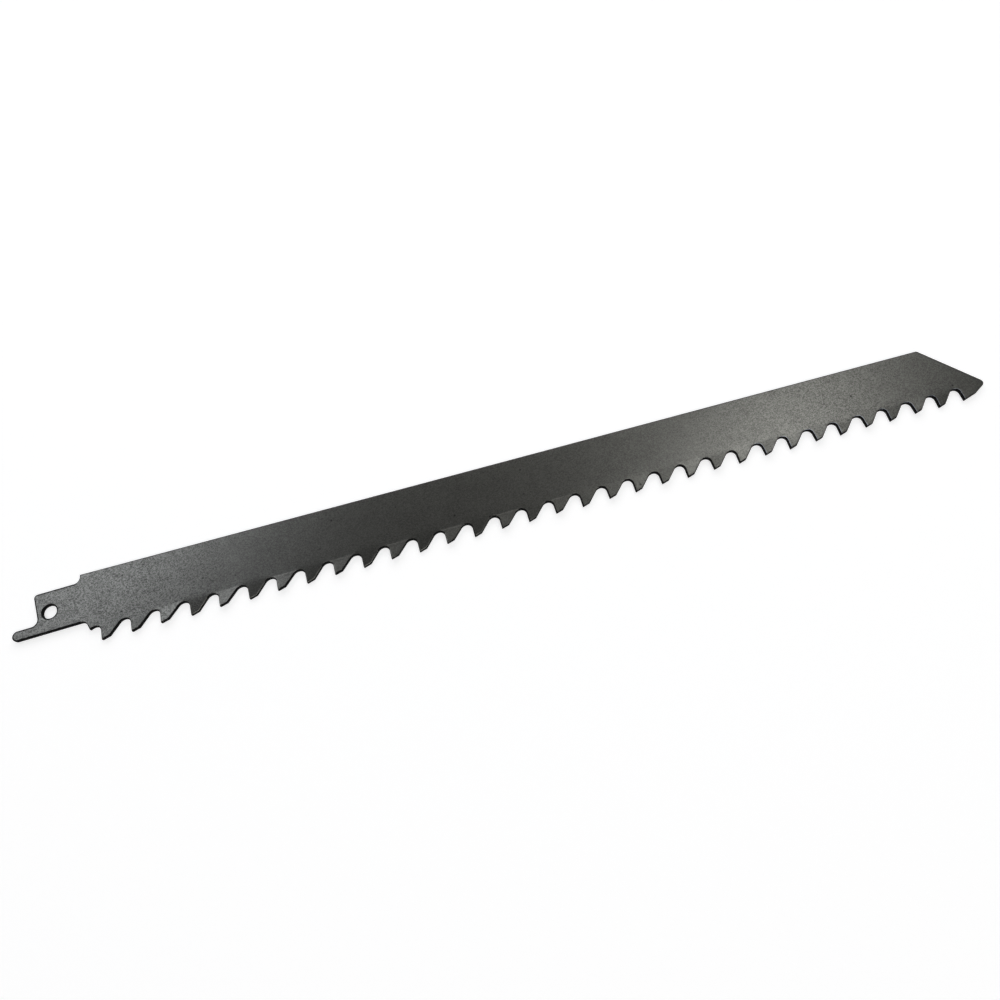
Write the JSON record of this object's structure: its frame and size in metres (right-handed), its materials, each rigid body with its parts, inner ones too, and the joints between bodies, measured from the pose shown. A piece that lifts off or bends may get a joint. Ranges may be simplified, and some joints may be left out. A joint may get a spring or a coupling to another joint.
{
  "type": "reciprocating saw blade",
  "caption": "Long coarse-toothed reciprocating saw blade: a flat dark steel strip with alternately set teeth, a slanted nose and a narrow tang with a round hole and a finger.",
  "frame": {"origin": "centre of the tang's hole, halfway through the steel's thickness", "axes": "+X along the blade from the tang to the nose, +Y across it from the teeth to the spine, +Z along the hole's axis through the thickness, up as the blade lies flat"},
  "size_m": [0.3045, 0.0217, 0.002],
  "materials": {
    "blade_steel": "dark grey heat-treatment oxide with a fine grain, satin"
  },
  "bodies": {
    "root": {"blade": "blade_steel"}
  },
  "joints": []
}
